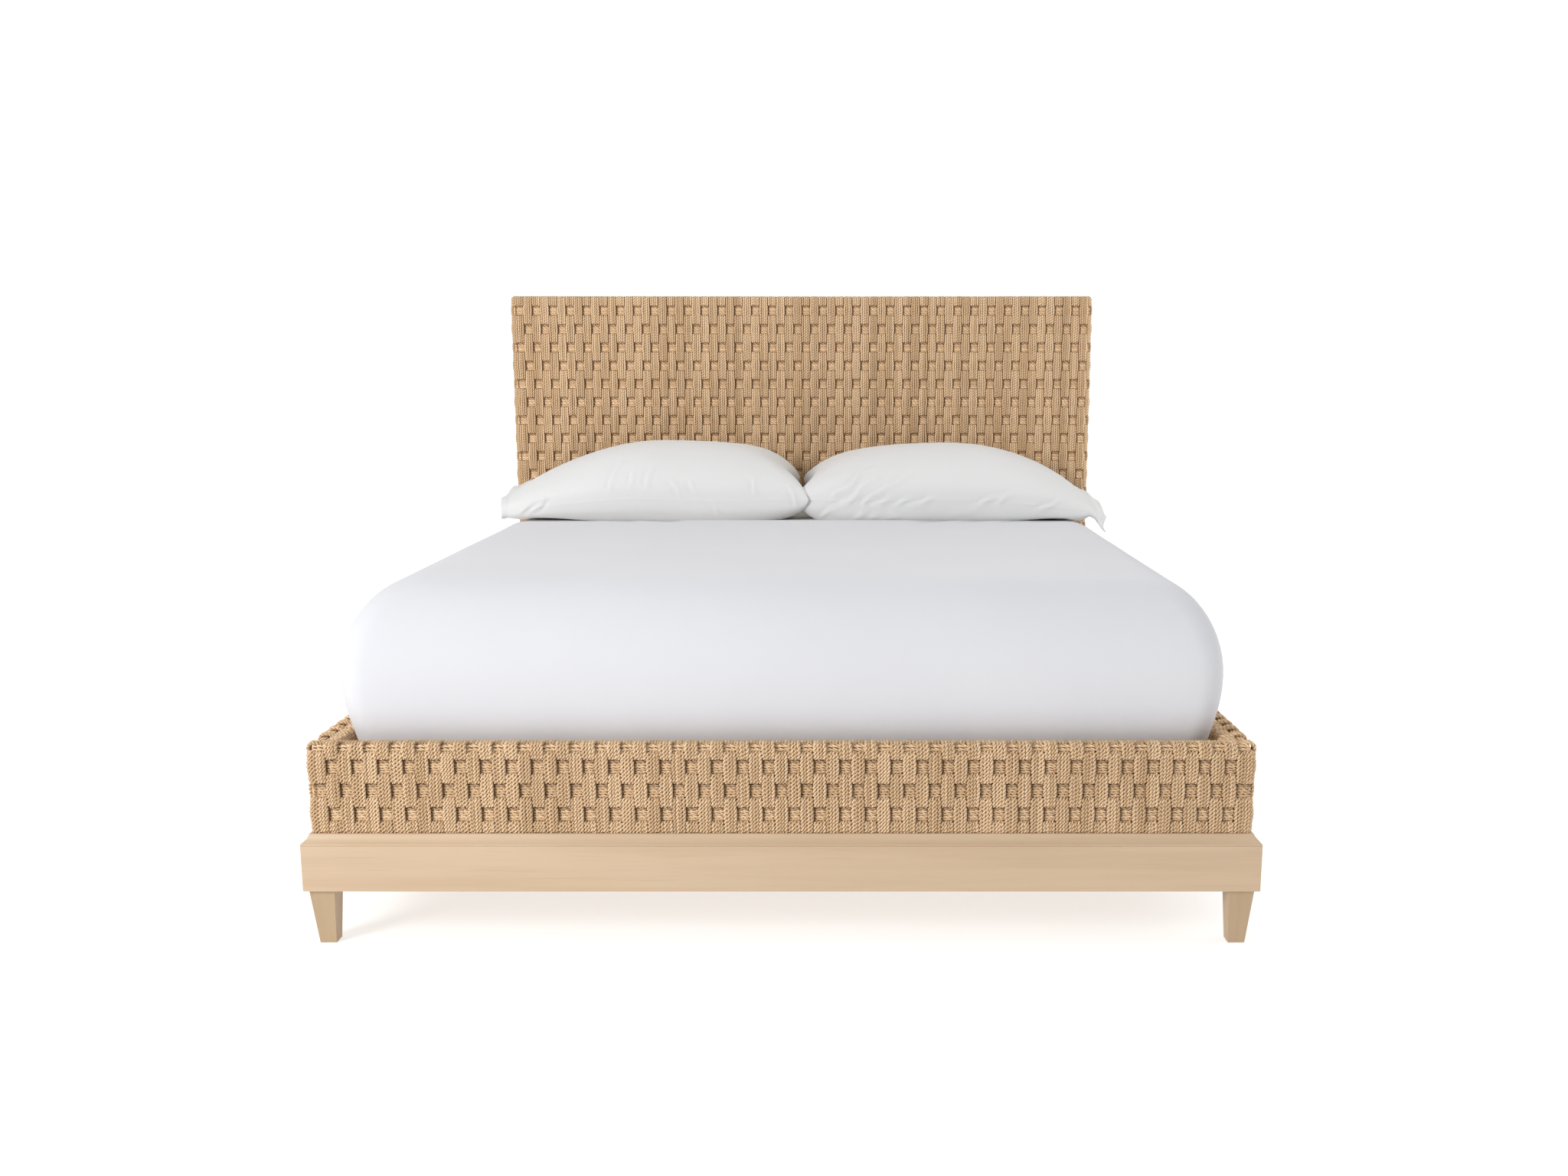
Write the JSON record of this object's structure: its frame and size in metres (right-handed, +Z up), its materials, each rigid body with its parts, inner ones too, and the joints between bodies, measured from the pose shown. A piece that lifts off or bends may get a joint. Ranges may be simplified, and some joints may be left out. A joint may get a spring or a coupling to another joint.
{
  "type": "bed",
  "caption": "King platform bed with a rope-woven headboard and rails on a pale wooden plinth with tapered legs, with mattress, cover and pillows",
  "frame": {"origin": "on the floor, under the centre of the bed's box", "axes": "+X to the right seen from the foot end, +Y towards the headboard, +Z up"},
  "size_m": [2.114, 2.202, 1.511],
  "materials": {
    "rope_upright": "two-ply twisted natural fibre rope, tan, matt",
    "rope_level": "two-ply twisted natural fibre rope, tan, matt",
    "plinth_wood": "pale whitewashed wood, satin, faint straight grain",
    "frame_wood": "plain pine, planed, unfinished",
    "plywood": "plain plywood, hidden under the rope",
    "steel": "zinc-plated fasteners and beam shoes",
    "felt": "dark felt glides",
    "ticking": "white cotton ticking",
    "sheet_cotton": "warm white cotton sheet, matt",
    "cover_cotton": "cool white cotton cover, matt",
    "pillow_cotton": "warm white cotton pillowcase, matt, softly creased"
  },
  "bodies": {
    "bed_frame": {"leg_front_left": "plinth_wood", "leg_front_right": "plinth_wood", "leg_rear_left": "plinth_wood", "leg_rear_right": "plinth_wood", "leg_bolts": "steel", "plinth_front": "plinth_wood", "plinth_left": "plinth_wood", "plinth_right": "plinth_wood", "plinth_rear": "plinth_wood", "cap_front": "plinth_wood", "cap_left": "plinth_wood", "cap_right": "plinth_wood", "cap_rear": "plinth_wood", "corner_block_front_left": "frame_wood", "corner_block_front_right": "frame_wood", "corner_block_rear_left": "frame_wood", "corner_block_rear_right": "frame_wood", "foot_rail_core": "frame_wood", "side_rail_core_left": "frame_wood", "side_rail_core_right": "frame_wood", "rail_block_foot_left": "frame_wood", "rail_block_foot_right": "frame_wood", "rail_block_head_left": "frame_wood", "rail_block_head_right": "frame_wood", "rail_block_bolts": "steel", "ledger_left": "frame_wood", "ledger_right": "frame_wood", "centre_beam": "frame_wood", "beam_hangers": "steel", "centre_leg_foot": "frame_wood", "centre_leg_middle": "frame_wood", "centre_leg_head": "frame_wood", "centre_leg_glides": "felt", "slats": "frame_wood", "slat_screws": "steel", "headboard_stile_left": "frame_wood", "headboard_stile_right": "frame_wood", "headboard_mid_stile": "frame_wood", "headboard_top_rail": "frame_wood", "headboard_bottom_rail": "frame_wood", "headboard_front_panel": "plywood", "headboard_back_panel": "plywood", "headboard_apron": "plinth_wood", "headboard_bolts": "steel", "headboard_warp": "rope_upright", "headboard_weft": "rope_level", "foot_rail_warp": "rope_upright", "foot_rail_weft": "rope_level", "side_rail_warp_left": "rope_upright", "side_rail_weft_left": "rope_level", "side_rail_warp_right": "rope_upright", "side_rail_weft_right": "rope_level"},
    "mattress_set": {"mattress": "ticking", "fitted_sheet": "sheet_cotton", "top_cover": "cover_cotton"},
    "pillow_set_left": {"pillow_left": "ticking", "pillowcase_left": "pillow_cotton"},
    "pillow_set_right": {"pillow_right": "ticking", "pillowcase_right": "pillow_cotton"}
  },
  "joints": [
    {"name": "mattress_lift", "type": "slide", "parent": "bed_frame", "child": "mattress_set", "axis": [0, 0, 1], "range_m": [0, 1.12]},
    {"name": "pillow_left_lift", "type": "slide", "parent": "mattress_set", "child": "pillow_set_left", "axis": [0, 0, 1], "range_m": [0, 0.75]},
    {"name": "pillow_right_lift", "type": "slide", "parent": "mattress_set", "child": "pillow_set_right", "axis": [0, 0, 1], "range_m": [0, 0.75]}
  ]
}
